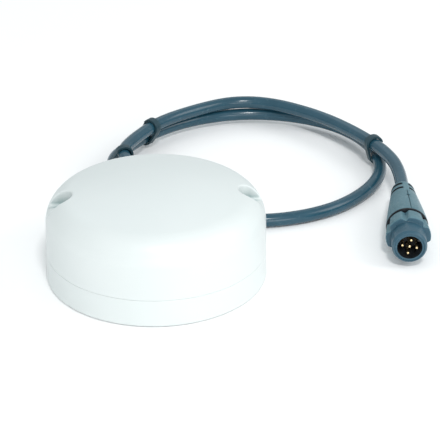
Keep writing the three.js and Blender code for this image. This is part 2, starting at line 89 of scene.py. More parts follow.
# Cable: the centreline from the boot to the plug
CABLE_RADIUS = 2.42
EXIT_Z = 5
BOOT_END_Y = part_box("strain_relief_boot")[1].y / MM
EXIT_HOLE = {"radius": 3.3, "front": 34.6, "back": 40}
ROUTE = [
    (0, 50.8, 5), (-1.4, 57.5, 4.1), (-5.6, 63.1, 3), (-10.6, 68.3, 3.5), (-13.5, 75.1, 4),
    (-13, 82.4, 4.1), (-9.5, 88.8, 4.1), (-4.7, 95.8, 4.1), (0.8, 102.1, 4.1), (10.9, 111.1, 3.9),
    (23, 117.4, 3.8), (38, 120.8, 3.7), (54, 118.9, 3.7), (70.5, 110.7, 3.8), (82.2, 96.4, 4),
    (87.2, 80, 4.1), (87, 65.5, 3), (79.7, 51, 2.5), (66.4, 37.8, 2.45), (50, 30.9, 2.45),
    (34, 30, 2.45), (22.4, 35, 2.8), (15, 42.6, 4.2), (9.8, 50, 6), (4.3, 56.6, 7.7),
    (-2.2, 61.6, 8.5), (-7.2, 66.9, 8.9), (-9.5, 73.5, 9.2), (-8.8, 80.2, 9.2), (-5.6, 87, 9.2),
    (-1.5, 93.8, 9.2), (3.7, 101, 9.2), (11.1, 108.1, 9), (21.8, 115, 9), (35, 120.8, 9),
    (49, 119, 9), (61.4, 111.3, 8.8), (72, 100.8, 8.8), (80.8, 87.4, 9), (87.1, 74.5, 9.2),
    (91.2, 62, 8.9), (91.8, 50, 8.2), (90.95, 39.6, 8),
]
CABLE_STEPS = 560
CABLE_SIDES = 28
CORE_LAY = {"pitch": 60, "lobes": 5, "height": 0.012}

# Cable ties
TIES = {"back": (1.1, 99.4), "left": (-11.4, 74.2), "right": (87, 77.4)}
TIE_REACH = 4
TIE_CLEARANCE = 0.22
TIE_THICKNESS = 0.55
TIE_WIDTH = 3
TIE_EDGE = 0.22
TIE_TAIL = {"start": 0.06, "end": 0.62, "thickness": 0.4, "width": TIE_WIDTH - 0.1, "sunk": 0.1,
            "taper": 0.125, "tip": 0.25}

# Plug: stations are counted back from the nose, and clock angles run clockwise from the top, seen
# from the nose
joint = frame["joints"][0]
NOSE = Vector(joint["pos_m"]) / MM
FORWARD = Vector(joint["axis"]).normalized()
PLUG_ROLL = 10
NUT = {"bore": 5.05, "nose": 5.45, "barrel": 6.05, "grip_front": 7.5, "grip_back": 14.4, "grip": 7.85,
       "grip_tail": 7.15, "lip": 6.1, "lip_front": 12.2, "chamfer": 1.1, "bevel": (2.4, 0.24)}
NOTCHES = {"clocks": range(-10, 350, 60), "reach": 1.75, "depth": 1.1}
SHROUD = {"outer": 4.97, "bore": 4.3, "front": 0.15, "back": 20, "inner": 4.2}
COLLAR = {"radius": 5.8, "front": 12.5, "back": 14.1}
KEY = {"clock": 45 + PLUG_ROLL, "half_width": 0.55, "height": 0.8, "front": 0.9, "back": 8.6, "edge": 0.08}
PIN = {"circle": 2.5, "radius": 0.5, "front": 0.6, "back": 20.5}
BODY = [
    (15.4, 7.4), (19.6, 7.05), (24, 6.5), (28.2, 5.95), (32.5, 5.4), (37, 4.85), (40.5, 4.4), (43.5, 3.9),
    (44.3, 3.1),
]
BODY_ROWS = {"after_front": 0.6, "end": 42, "step": 0.4}
BODY_CAVITY = {"radius": 5.05, "depth": 21}
SPINE_CLOCK = 9
RELIEF_SLOTS = {"stations": (40.9, 36.9), "half_width": 0.75, "depth": 1.3, "spine": 1, "fade": 0.35,
                "floor": 0.85, "rim": 1.25}
MOULD_DOT = {"station": 29.1, "radius": 0.8, "depth": 0.8, "floor": 0.6, "row_reach": 0.9, "row_step": 0.12}
MOULD_LINE = {"front": 15.4, "back": 35, "half_width": 0.22, "depth": 0.3, "fade": 0.5}
# Body faces sunk deeper than this, and those this near its front, are painted black as shade
SHADED_DEPTH = 0.35
SHADED_FRONT = 0.12

# Faces that meet at less than this many degrees are shaded smooth
SMOOTH_BELOW = 32

scene = bpy.context.scene


# Camera first, with the whole object in its square frame
CAMERA_PLACE = Vector((-13.9, -495.2, 277.0)) * MM
CAMERA_TARGET = Vector((24.1, 35.7, 0)) * MM
CAMERA_LENS = 135.8
CAMERA_SENSOR = 36


def add_camera():
    data = bpy.data.cameras.new("camera")
    data.lens, data.sensor_width = CAMERA_LENS, CAMERA_SENSOR
    data.clip_start, data.clip_end = 0.01, 20
    camera = bpy.data.objects.new("camera", data)
    camera.location = CAMERA_PLACE
    camera.rotation_euler = (CAMERA_TARGET - CAMERA_PLACE).to_track_quat("-Z", "Y").to_euler()
    scene.collection.objects.link(camera)
    scene.camera = camera


# How far Blender's band pattern turns over one unit, in radians
WAVE_TURN = 20


# Procedural surfaces. Each one is a Principled shader fed by patterns in object coordinates, and a
# pattern's size is given in millimetres.
class Surface:
    def __init__(self, name, roughness, metallic=0.0, specular=0.5, coat=0.0):
        self.material = bpy.data.materials.new(name)
        self.material.use_nodes = True
        self.nodes = self.material.node_tree.nodes
        self.links = self.material.node_tree.links
        self.shader = next(node for node in self.nodes if node.type == "BSDF_PRINCIPLED")
        self.set_input("Roughness", roughness)
        self.set_input("Metallic", metallic)
        self.set_input("Specular IOR Level", specular)
        self.set_input("Coat Weight", coat)
        self.place = self.nodes.new("ShaderNodeTexCoord").outputs["Object"]
        self.relief = None

    def set_input(self, socket, value):
        self.shader.inputs[socket].default_value = value

    def stretched(self, stretch):
        if stretch == (1, 1, 1):
            return self.place
        mapping = self.nodes.new("ShaderNodeMapping")
        mapping.inputs["Scale"].default_value = stretch
        self.links.new(self.place, mapping.inputs["Vector"])
        return mapping.outputs["Vector"]

    def noise(self, size, detail=3, stretch=(1, 1, 1)):
        node = self.nodes.new("ShaderNodeTexNoise")
        node.inputs["Scale"].default_value = 1 / (size * MM)
        node.inputs["Detail"].default_value = detail
        self.links.new(self.stretched(stretch), node.inputs["Vector"])
        return node.outputs["Fac"]

    def cells(self, size):
        node = self.nodes.new("ShaderNodeTexVoronoi")
        node.inputs["Scale"].default_value = 1 / (size * MM)
        self.links.new(self.place, node.inputs["Vector"])
        return node.outputs["Distance"]

    def bands(self, size, direction, distortion):
        """Bands of this width, half a wave each. The wave runs WAVE_TURN radians to the unit."""
        node = self.nodes.new("ShaderNodeTexWave")
        node.bands_direction = direction
        node.inputs["Scale"].default_value = 1 / (size * MM) / WAVE_TURN * math.pi
        node.inputs["Distortion"].default_value = distortion
        self.links.new(self.place, node.inputs["Vector"])
        return node.outputs["Fac"]

    def corner_shade(self, reach):
        """1 on open faces, falling towards 0 in corners that are narrow against reach. Its callers use it to paint
        shade into those corners.
        """
        node = self.nodes.new("ShaderNodeAmbientOcclusion")
        node.inputs["Distance"].default_value = reach * MM
        node.only_local = True
        return node.outputs["AO"]

    def spread(self, value, low, high, start=0.0, end=1.0):
        """value, from low to high, turned into start to end"""
        node = self.nodes.new("ShaderNodeMapRange")
        for socket, number in zip(("From Min", "From Max", "To Min", "To Max"), (low, high, start, end)):
            node.inputs[socket].default_value = number
        self.links.new(value, node.inputs["Value"])
        return node.outputs["Result"]

    def blend(self, value, first, second, low=0.0, high=1.0):
        """A colour from first, where value is low, to second, where it is high"""
        node = self.nodes.new("ShaderNodeMix")
        node.data_type = "RGBA"
        for socket, colour in zip((node.inputs[6], node.inputs[7]), (first, second)):
            if isinstance(colour, tuple):
                socket.default_value = (*colour, 1)
            else:
                self.links.new(colour, socket)
        self.links.new(self.spread(value, low, high), node.inputs["Factor"])
        return node.outputs[2]

    def colour(self, output):
        self.links.new(output, self.shader.inputs["Base Color"])
        return self

    def rough(self, output):
        self.links.new(output, self.shader.inputs["Roughness"])
        return self

    def raise_by(self, value, height):
        """Adds a relief of this height, in millimetres, over what is there already"""
        node = self.nodes.new("ShaderNodeBump")
        node.inputs["Distance"].default_value = height * MM
        self.links.new(value, node.inputs["Height"])
        if self.relief:
            self.links.new(self.relief, node.inputs["Normal"])
        self.relief = node.outputs["Normal"]
        self.links.new(self.relief, self.shader.inputs["Normal"])
        return self


def housing_white():
    surface = Surface("housing_white", 0.36)
    flow = surface.blend(surface.noise(26, 2), (0.665, 0.712, 0.706), (0.68, 0.724, 0.718), 0.35, 0.65)
    # Painted shade: a dark teal blended into the screw pockets and other corners, by occlusion within 5 mm
    surface.colour(surface.blend(surface.corner_shade(5), (0.02, 0.2, 0.2), flow, 0.4, 0.85))
    surface.rough(surface.spread(surface.noise(7, 4), 0.35, 0.7, 0.33, 0.42))
    return surface.raise_by(surface.noise(0.35, 2), 0.003).raise_by(surface.noise(9, 1), 0.015).material


def cable_sheath():
    surface = Surface("cable_sheath", 0.3)
    tone = surface.blend(surface.noise(14, 3), (0.014, 0.062, 0.094), (0.02, 0.075, 0.112), 0.35, 0.65)
    scuffs = surface.spread(surface.noise(1.6, 5), 0.6, 0.74)
    surface.colour(surface.blend(scuffs, tone, (0.045, 0.11, 0.148)))
    surface.rough(surface.spread(surface.noise(2.4, 4), 0.3, 0.75, 0.17, 0.25))
    return surface.raise_by(surface.noise(0.16, 2), 0.003).raise_by(surface.noise(3.5, 2), 0.01).material


def plug_shell(name, dark, light, worn):
    surface = Surface(name, 0.42, specular=0.45)
    tone = surface.blend(surface.noise(8, 3), dark, light, 0.35, 0.65)
    rubbed = surface.blend(surface.spread(surface.noise(1.1, 5), 0.6, 0.75), tone, worn)
    # Painted shade: near black blended into the plug's corners, by occlusion within 1.2 mm
    surface.colour(surface.blend(surface.corner_shade(1.2), (0.004, 0.012, 0.016), rubbed, 0.2, 0.75))
    surface.rough(surface.spread(surface.noise(0.9, 3), 0.3, 0.7, 0.32, 0.5))
    return surface.raise_by(surface.noise(0.14, 2), 0.012).raise_by(surface.cells(0.3), 0.006).material


def tie_nylon():
    surface = Surface("tie_nylon", 0.4, specular=0.3)
    tone = surface.blend(surface.noise(4, 3), (0.012, 0.04, 0.055), (0.02, 0.056, 0.074), 0.35, 0.65)
    scuffs = surface.spread(surface.noise(0.6, 4), 0.62, 0.78)
    surface.colour(surface.blend(scuffs, tone, (0.05, 0.095, 0.115)))
    surface.rough(surface.spread(surface.noise(0.8, 3), 0.3, 0.7, 0.32, 0.52))
    return surface.raise_by(surface.noise(0.12, 2), 0.01).material


def black_plastic():
    surface = Surface("black_plastic", 0.5)
    dark, light = (0.006, 0.008, 0.011), (0.02, 0.026, 0.032)
    surface.colour(surface.blend(surface.noise(0.7, 4), dark, light, 0.35, 0.7))
    surface.rough(surface.spread(surface.noise(0.5, 3), 0.3, 0.7, 0.42, 0.6))
    return surface.raise_by(surface.noise(0.1, 2), 0.01).material


def seal_rubber():
    surface = Surface("seal_rubber", 0.8)
    dark, light = (0.018, 0.021, 0.023), (0.036, 0.04, 0.042)
    surface.colour(surface.blend(surface.noise(0.9, 3), dark, light, 0.3, 0.7))
    surface.rough(surface.spread(surface.noise(0.4, 3), 0.3, 0.7, 0.7, 0.92))
    return surface.raise_by(surface.noise(0.2, 3), 0.02).material


def pad_foam():
    surface = Surface("pad_foam", 0.95)
    pores = surface.cells(0.45)
    surface.colour(surface.blend(pores, (0.012, 0.013, 0.014), (0.062, 0.066, 0.069), 0.1, 0.6))
    surface.rough(surface.spread(surface.noise(1.2, 3), 0.3, 0.7, 0.85, 1.0))
    return surface.raise_by(pores, 0.12).raise_by(surface.noise(5, 2), 0.1).material


def circuit_board():
    surface = Surface("circuit_board", 0.4, coat=0.4)
    surface.set_input("Coat Roughness", 0.15)
    traces = surface.spread(surface.bands(2.4, "X", 3.0), 0.44, 0.5)
    copper = surface.blend(traces, (0.012, 0.095, 0.045), (0.02, 0.17, 0.075))
    vias = surface.spread(surface.cells(2.2), 0.12, 0.14)
    surface.colour(surface.blend(vias, (0.45, 0.36, 0.16), copper))
    surface.rough(surface.spread(surface.noise(1.5, 3), 0.3, 0.7, 0.32, 0.5))
    return surface.raise_by(traces, 0.03).material


def ceramic():
    surface = Surface("ceramic", 0.55)
    grain = surface.blend(surface.noise(0.4, 4), (0.58, 0.5, 0.4), (0.74, 0.68, 0.58), 0.35, 0.65)
    surface.colour(surface.blend(surface.spread(surface.cells(1.4), 0.05, 0.1), (0.4, 0.34, 0.27), grain))
    surface.rough(surface.spread(surface.noise(0.6, 3), 0.3, 0.7, 0.45, 0.65))
    return surface.raise_by(surface.noise(0.15, 3), 0.01).material


def metal(name, dark, light, roughness, grain, stretch=(1, 1, 1)):
    """A metal with fine drawn or plated grain and duller patches"""
    surface = Surface(name, roughness, 1.0)
    surface.colour(surface.blend(surface.noise(grain * 6, 4), dark, light, 0.35, 0.7))
    patches = surface.noise(grain * 3, 3, stretch)
    surface.rough(surface.spread(patches, 0.3, 0.7, roughness * 0.75, roughness * 1.3))
    return surface.raise_by(surface.noise(grain, 2, stretch), 0.006).material


def core_insulation(name, dark, light):
    """A core's thin insulation: even colour with faint streaks along Y"""
    surface = Surface(name, 0.45)
    surface.colour(surface.blend(surface.noise(1.5, 3, (1, 0.2, 1)), dark, light, 0.3, 0.7))
    surface.rough(surface.spread(surface.noise(0.6, 3), 0.3, 0.7, 0.38, 0.55))
    return surface.raise_by(surface.noise(0.1, 2), 0.004).material


SURFACES = {
    "housing_white": housing_white(),
    "cable_sheath": cable_sheath(),
    "plug_shell": plug_shell("plug_shell", (0.068, 0.162, 0.2), (0.084, 0.188, 0.23), (0.135, 0.245, 0.285)),
    # A darker copy of the plug's finish, which is painted shade on the nut and the shroud
    "plug_shell_shaded": plug_shell("plug_shell_shaded", (0.024, 0.078, 0.115), (0.032, 0.094, 0.136), (0.07, 0.145, 0.185)),
    "tie_nylon": tie_nylon(),
    "black_plastic": black_plastic(),
    "seal_rubber": seal_rubber(),
    "pad_foam": pad_foam(),
    "circuit_board": circuit_board(),
    "ceramic": ceramic(),
    "silver_print": metal("silver_print", (0.5, 0.52, 0.53), (0.78, 0.79, 0.8), 0.38, 0.3),
    "tinned": metal("tinned", (0.42, 0.44, 0.45), (0.66, 0.67, 0.68), 0.42, 0.25),
    "screw_steel": metal("screw_steel", (0.3, 0.32, 0.33), (0.55, 0.56, 0.57), 0.34, 0.2, (1, 1, 4)),
    "gilt_contact": metal("gilt_contact", (0.88, 0.66, 0.34), (1.0, 0.86, 0.56), 0.24, 0.15, (1, 1, 5)),
    "core_red": core_insulation("core_red", (0.32, 0.025, 0.02), (0.5, 0.05, 0.035)),
    "core_black": core_insulation("core_black", (0.008, 0.008, 0.009), (0.022, 0.022, 0.024)),
    "core_white": core_insulation("core_white", (0.66, 0.65, 0.6), (0.84, 0.83, 0.78)),
    "core_blue": core_insulation("core_blue", (0.015, 0.07, 0.26), (0.04, 0.14, 0.42)),
    "core_bare": metal("core_bare", (0.4, 0.4, 0.41), (0.7, 0.7, 0.71), 0.36, 0.15),
}


# Mesh work
def unit(vector):
    return np.asarray(vector, float) / np.linalg.norm(vector)


def add_object(name, points, faces):
    mesh = bpy.data.meshes.new(name)
    mesh.from_pydata([tuple(point) for point in points], [], faces)
    work = bmesh.new()
    work.from_mesh(mesh)
    bmesh.ops.recalc_face_normals(work, faces=work.faces)
    work.to_mesh(mesh)
    work.free()
    made = bpy.data.objects.new(name, mesh)
    scene.collection.objects.link(made)
    return made


def as_piece(made, slot, body, nodes, place=Matrix(), smooth_below=SMOOTH_BELOW, weighted=True, look=None):
    """Scales an object to metres at its place, smooths it, gives it its finish and its body, and hides
    the CAD nodes it stands for. Its look is its slot's own unless another is named."""
    made.data.transform(Matrix.Scale(MM, 4) @ place)
    made.data.shade_smooth()
    made.data.set_sharp_from_angle(angle=math.radians(smooth_below))
    if weighted:
        made.modifiers.new("even_shading", "WEIGHTED_NORMAL").keep_sharp = True
    made.data.materials.clear()
    made.data.materials.append(SURFACES[look or slot])
    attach(made, body)
    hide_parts(*nodes)
    return made


def show_as(piece, faces, look):
    """Gives some faces of a piece a second look"""
    piece.data.materials.append(SURFACES[look])
    for index in faces:
        piece.data.polygons[index].material_index = 1
    return piece


def softened(corners, steps=5):
    """An outline through (radius, height, rounding) corners, with an arc at each rounded one"""
    outline = []
    for i, (*corner, rounding) in enumerate(corners):
        corner = np.array(corner, float)
        if rounding == 0:
            outline.append(corner)
            continue
        before = unit(np.array(corners[i - 1][:2]) - corner)
        after = unit(np.array(corners[(i + 1) % len(corners)][:2]) - corner)
        half = math.acos(np.clip(before @ after, -1, 1)) / 2
        centre = corner + unit(before + after) * rounding / math.sin(half)
        start = corner + before * rounding / math.tan(half) - centre
        end = corner + after * rounding / math.tan(half) - centre
        sweep = math.pi - 2 * half
        for step in range(steps + 1):
            share = step / steps
            parts = math.sin((1 - share) * sweep) * start + math.sin(share * sweep) * end
            outline.append(centre + parts / math.sin(sweep))
    return np.array(outline)


def even_angles(sides):
    return np.linspace(0, 2 * math.pi, sides, endpoint=False)


def crowded_angles(centres, reach, fine, coarse):
    """Angles all round, fine degrees apart within reach degrees of each centre, else coarse"""
    angles, angle = [], 0.0
    while angle < 360 - fine / 2:
        angles.append(math.radians(angle))
        near = any(abs((angle - centre + 180) % 360 - 180) <= reach for centre in centres)
        angle += fine if near else coarse
    return np.array(angles)


def revolve(name, outline, angles, reshape=None):
    """A solid of revolution about Z. The outline starts and ends on the axis, or closes on
    itself. reshape(radius, height, angle) gives the changed radius of every point."""
    outline = np.asarray(outline, float)
    radius = np.repeat(outline[:, :1], len(angles), axis=1)
    height = np.repeat(outline[:, 1:], len(angles), axis=1)
    turn = np.repeat(angles[None, :], len(outline), axis=0)
    if reshape:
        radius = np.where(radius > 0, reshape(radius, height, turn), 0)
    grid = np.stack([radius * np.cos(turn), radius * np.sin(turn), height], axis=2)
    points, rings = [], []
    on_axis = outline[:, 0] < 1e-9
    for row, single in zip(grid, on_axis):
        chosen = row[:1] if single else row
        rings.append([len(points) + i for i in range(len(chosen))])
        points.extend(chosen)
    pairs = list(zip(rings, rings[1:])) + ([] if on_axis[0] else [(rings[-1], rings[0])])
    return add_object(name, points, [face for a, b in pairs for face in between(a, b)])


def between(first, second):
    """The faces between two rings of points, either of which may be a single point"""
    count = max(len(first), len(second))
    faces = []
    for i in range(count):
        j = (i + 1) % count
        near = [first[i % len(first)], first[j % len(first)]]
        far = [second[j % len(second)], second[i % len(second)]]
        faces.append(list(dict.fromkeys(near + far)))
    return faces


def stacked(name, rows, joined=False):
    """A closed solid through rows that all have the same number of points. The last row is joined
    to the first, or there is a flat face at either end."""
    count = len(rows[0])
    points = [point for row in rows for point in row]
    rings = [list(range(i * count, (i + 1) * count)) for i in range(len(rows))]
    following = rings[1:] + rings[:1] if joined else rings[1:]
    faces = [face for a, b in zip(rings, following) for face in between(a, b)]
    return add_object(name, points, faces if joined else [rings[0], *faces, rings[-1]])


def combine(target, *steps):
    """Applies (operation, tool) booleans to the target. The tools are used up."""
    for operation, tool in steps:
        modifier = target.modifiers.new("combine", "BOOLEAN")
        modifier.operation, modifier.object, modifier.solver = operation, tool, "MANIFOLD"
    shaped = target.evaluated_get(bpy.context.evaluated_depsgraph_get())
    mesh = bpy.data.meshes.new_from_object(shaped)
    target.modifiers.clear()
    target.data = mesh
    for _, tool in steps:
        bpy.data.objects.remove(tool)
    return target


def copy_of_node(node):
    """A CAD node's solid in millimetres, to be cut and joined"""
    copied = bpy.data.objects.new("inside", frame["nodes"][node].data.copy())
    scene.collection.objects.link(copied)
    copied.data.transform(Matrix.Scale(1 / MM, 4))
    work = bmesh.new()
    work.from_mesh(copied.data)
    bmesh.ops.remove_doubles(work, verts=work.verts, dist=1e-4)
    work.to_mesh(copied.data)
    work.free()
    return copied


# Cable
def route_line(steps):
    """Points on the cubic B-spline that passes within a quarter of a millimetre of the route's
    points"""
    places = np.array(ROUTE, float)
    inner = (8 * places[1:-1] - places[:-2] - places[2:]) / 6
    first, last = places[0], places[-1]
    guides = np.vstack([2 * first - inner[0], first, inner, last, 2 * last - inner[-1]])
    line = []
    for t in np.linspace(0, len(guides) - 3, steps + 1):
        span = min(int(t), len(guides) - 4)
        u = t - span
        weights = np.array([(1 - u) ** 3, 3 * u**3 - 6 * u**2 + 4, -3 * u**3 + 3 * u**2 + 3 * u + 1, u**3])
        line.append(weights @ guides[span:span + 4] / 6)
    return np.array(line)


def cable_mesh(line):
    """A round sheath along the line. The cores' lay shows as a faint spiral swell."""
    along = np.gradient(line, axis=0)
    along /= np.linalg.norm(along, axis=1)[:, None]
    travelled = np.concatenate([[0], np.cumsum(np.linalg.norm(np.diff(line, axis=0), axis=1))])
    angles = even_angles(CABLE_SIDES)
    across = unit(np.cross((0, 0, 1), along[0]))
    rows = []
    for place, way, reach in zip(line, along, travelled):
        across = unit(across - way * (across @ way))
        up = np.cross(way, across)
        twist = CORE_LAY["lobes"] * angles - 2 * math.pi * reach / CORE_LAY["pitch"] * CORE_LAY["lobes"]
        radius = CABLE_RADIUS - CORE_LAY["height"] * (1 + np.cos(twist)) / 2
        ring = np.outer(np.cos(angles), across) + np.outer(np.sin(angles), up)
        rows.append(place + ring * radius[:, None])
    return stacked("data_cable", rows)


# Cable ties
def strands_at(centre, line):
    """The way across the strands at a tie, and where each one crosses the tie's plane, lowest
    first, as its place along that way and its height"""
    offset = line[:, :2] - centre
    near = np.linalg.norm(offset, axis=1) < TIE_REACH
    along = unit(np.diff(line[:, :2], axis=0)[near[1:]].sum(axis=0))
    across = np.array((-along[1], along[0]))
    passed = offset @ along
    crossing = np.nonzero((passed[:-1] * passed[1:] <= 0) & near[1:])[0] + 1
    strands = [(offset[i] @ across, line[i, 2]) for i in crossing]
    return across, sorted(strands, key=lambda strand: strand[1])


def loop_round(low, high, radius, steps=20):
    """Points round two strands, and the way out at each, from the middle of one straight side
    up and over the top"""
    turn = math.atan2(high[1] - low[1], high[0] - low[0])
    ends = [(high, turn - math.pi / 2), (low, turn + math.pi / 2)]
    outward, places = [], []
    for centre, start in ends:
        for angle in np.linspace(start, start + math.pi, steps + 1):
            outward.append((math.cos(angle), math.sin(angle)))
            places.append(np.array(centre) + radius * np.array(outward[-1]))
        side = (math.cos(start + math.pi), math.sin(start + math.pi))
        other = low if centre is high else high
        for share in (0.25, 0.5, 0.75):
            outward.append(side)
            places.append(np.array(centre) * (1 - share) + np.array(other) * share + radius * np.array(side))
    half = len(places) - 2
    order = list(range(half, len(places))) + list(range(half))
    return np.array(places)[order], np.array(outward)[order]


def strap_row(place, way, thickness, width):
    """The strap's section at a place, a flat bar with soft edges whose thickness is along way"""
    half = width / 2
    corners = [(0, -half), (thickness, -half), (thickness, half), (0, half)]
    bar = softened([(*corner, TIE_EDGE) for corner in corners], 2)
    return [(*(place + way * out), side) for out, side in bar]


def tie_mesh(name, centre, line):
    """A strap round both strands, with its loose end lying over it. The tail's start and end are
    shares of the way round, its taper a share of its length, and its tip a share of its thickness."""
    across, (low, high) = strands_at(centre, line)
    inner = CABLE_RADIUS + TIE_CLEARANCE
    places, outward = loop_round(low, high, inner)
    rows = [strap_row(place, way, TIE_THICKNESS, TIE_WIDTH) for place, way in zip(places, outward)]
    strap = stacked(f"tie_{name}", rows, joined=True)
    places, outward = loop_round(low, high, inner + TIE_THICKNESS - TIE_TAIL["sunk"])
    first, last = (int(TIE_TAIL[end] * len(places)) for end in ("start", "end"))
    to_end = np.linspace(1, 0, last - first)
    heights = TIE_TAIL["thickness"] * np.clip(to_end / TIE_TAIL["taper"], TIE_TAIL["tip"], 1)
    tail_rows = [
        strap_row(place, way, height, TIE_TAIL["width"])
        for place, way, height in zip(places[first:last], outward[first:last], heights)
    ]
    combine(strap, ("UNION", stacked("tail", tail_rows)))
    side = Vector((*across, 0))
    up = Vector((0, 0, 1))
    place = Matrix((side, up, side.cross(up))).transposed().to_4x4()
    place.translation = (*centre, 0)
    return as_piece(strap, "tie_nylon", HOUSING_BODY, [f"cable_tie_{name}"], place)


# Strain relief boot, standing along +Y
def boot_mesh():
    """A bead inside the wall, a neck through it, and three narrowing ribs outside"""
    inner_end, wall_inside, wall_outside = 31.8, 33.7, 37.7
    bead, sleeve = 3.7, EXIT_HOLE["radius"] - 0.3
    corners = [
        (0, inner_end, 0), (bead, inner_end, 0.25), (bead, wall_inside - 0.3, 0.1),
        (sleeve, wall_inside, 0.1), (sleeve, wall_outside, 0.05), (4.4, wall_outside, 0.15),
        (4.4, 40.4, 0.45), (3.4, 40.8, 0.12), (3.4, 41.8, 0.12), (4.1, 42.2, 0.15), (3.9, 44.4, 0.35),
        (3.2, 44.8, 0.12), (3.2, 45.8, 0.12), (3.7, 46.2, 0.15), (3.3, BOOT_END_Y, 0.5), (0, BOOT_END_Y, 0),
    ]
    boot = revolve("strain_relief_sleeve", softened(corners, 4), even_angles(72))
    place = Matrix.Translation((0, 0, EXIT_Z)) @ Matrix.Rotation(-math.pi / 2, 4, "X")
    return as_piece(boot, "plug_shell", HOUSING_BODY, ["strain_relief_boot"], place)


# Plug
def plug_place():
    """From a frame with the nose at zero, the top along +Y and the plug along -Z, to its place"""
    up = Vector((0, 0, 1))
    place = Matrix((up.cross(FORWARD), up, FORWARD)).transposed().to_4x4()
    place.translation = NOSE
    return place


def clock_gap(angle, clock):
    """How far an angle from +X lies from a clock angle, in radians"""
    away = angle - math.radians(90 - clock)
    return np.abs((away + math.pi) % (2 * math.pi) - math.pi)


def ramp(value, start, end):
    """0 up to start, 1 from end on, and an S-curve between them"""
    share = np.clip((value - start) / (end - start), 0, 1)
    return share * share * (3 - 2 * share)


def at_stations(corners):
    """(station, radius, rounding) corners as (radius, height, rounding) ones"""
    return [(radius, -station, rounding) for station, radius, rounding in corners]


def notch_depth(angle):
    """How deep the nut's scallops are at each angle"""
    depth = np.zeros_like(angle)
    for clock in NOTCHES["clocks"]:
        away = clock_gap(angle, clock) * NUT["grip"] / NOTCHES["reach"]
        depth += np.where(away < 1, NOTCHES["depth"] * (1 + np.cos(math.pi * np.clip(away, 0, 1))) / 2, 0)
    return depth


def nut_mesh():
    bore, barrel, grip, tail, lip = (NUT[key] for key in ("bore", "barrel", "grip", "grip_tail", "lip"))
    front, back, lip_front = NUT["grip_front"], NUT["grip_back"], NUT["lip_front"]
    length, drop = NUT["bevel"]
    corners = [
        (0, bore, 0.05), (0, NUT["nose"], 0.12), (NUT["chamfer"], barrel, 0.35), (front, barrel, 0.2),
        (front, grip, 0.45), (front + length, grip - drop, 0), (back - length, tail + drop, 0),
        (back, tail, 0.3), (back, lip, 0.15), (lip_front, lip, 0.15), (lip_front, bore, 0.1),
    ]

    def lobed(radius, height, angle):
        return radius - notch_depth(angle) * ramp(radius, barrel + 0.1, barrel + 0.5)

    nut = revolve("coupling_ring", softened(at_stations(corners)), even_angles(240), lobed)
    # The side of the grip wears the plug's finish. The rest of the nut (nose, barrel, front and back) wears a
    # darker copy of it, which is painted shade
    rim = barrel + 0.25
    outside = [
        face.index for face in nut.data.polygons
        if math.hypot(*face.center[:2]) > rim and face.normal.z < 0.75 and face.center.z > 0.1 - back
    ]
    as_piece(nut, "plug_shell", NUT_BODY, ["coupling_nut"], plug_place(), 50, look="plug_shell_shaded")
    return show_as(nut, outside, "plug_shell")


def shroud_mesh():
    outer, bore, inner, front = SHROUD["outer"], SHROUD["bore"], SHROUD["inner"], SHROUD["front"]
    key_front, key_back, edge = KEY["front"], KEY["back"], KEY["edge"]
    corners = [
        (front, bore, 0.06), (front, outer, 0.04), (COLLAR["front"], outer, 0.1),
        (COLLAR["front"], COLLAR["radius"], 0.15), (COLLAR["back"], COLLAR["radius"], 0.15),
        (COLLAR["back"], outer, 0.1), (SHROUD["back"], outer - 0.2, 0.2), (SHROUD["back"], inner, 0.1),
        (key_back + 0.3, inner, 0), (key_back, bore, 0), (key_back - 0.3, bore, 0),
        (key_front + 0.4, bore, 0), (key_front, bore, 0),
    ]

    def keyed(radius, height, angle):
        away = clock_gap(angle, KEY["clock"]) * bore
        inside = 1 - ramp(away, KEY["half_width"] - edge, KEY["half_width"] + edge)
        length = ramp(-height, key_front, key_front + 0.35) * (1 - ramp(-height, key_back - 0.2, key_back))
        return radius - np.where(radius < bore + 0.01, KEY["height"] * inside * length, 0)

    angles = crowded_angles([90 - KEY["clock"]], 16, 1, 3)
    shroud = revolve("keyed_sleeve", softened(at_stations(corners), 4), angles, keyed)
    # The bore is painted black behind its front edge as shadow, all but a narrow strip on each side of the key.
    # The rest of the shroud wears the darker copy of the plug's finish, which is painted shade
    inside = [
        face.index for face in shroud.data.polygons
        if math.hypot(*face.center[:2]) < bore - 0.001 and face.center.z < -front - 0.1
    ]
    as_piece(shroud, "plug_shell", HOUSING_BODY, ["keyed_shroud"], plug_place(), 40, look="plug_shell_shaded")
    return show_as(shroud, inside, "black_plastic")


def body_outline():
    """Closely spaced (station, radius, rounding) corners down the plug body. Extra rows lie across
    the mould dot and the relief slots."""
    stations, radii = zip(*BODY)
    curve = np.polyfit(stations[:-2], radii[:-2], 3)
    front, cavity = BODY[0][0], BODY_CAVITY["radius"]
    plain_rows = np.arange(front + BODY_ROWS["after_front"], BODY_ROWS["end"], BODY_ROWS["step"])
    dot, reach, step = MOULD_DOT["station"], MOULD_DOT["row_reach"], MOULD_DOT["row_step"]
    dot_rows = np.arange(dot - reach, dot + reach + step / 2, step)
    shares = np.array((0, RELIEF_SLOTS["floor"], 1, RELIEF_SLOTS["rim"], 1.5))
    slot_reach = RELIEF_SLOTS["half_width"] * shares
    slot_rows = [slot + sign * slot_reach for slot in RELIEF_SLOTS["stations"] for sign in (-1, 1)]
    rows = np.unique(np.concatenate([plain_rows, dot_rows, *slot_rows]).round(3))
    side = [(station, float(np.polyval(curve, station)), 0) for station in rows]
    return [
        (BODY_CAVITY["depth"], 0, 0), (BODY_CAVITY["depth"], cavity, 0.3), (front, cavity, 0.1),
        (front, side[0][1], 0.25), *side, (*BODY[-2], 0.8), (*BODY[-1], 0.4), (BODY[-1][0], 0, 0),
    ]


def on_body_side(station, radius):
    """Whether places on the plug body are on its outside, not in its cavity"""
    return radius > BODY_CAVITY["radius"] * (station < BODY_CAVITY["depth"] + 0.5)


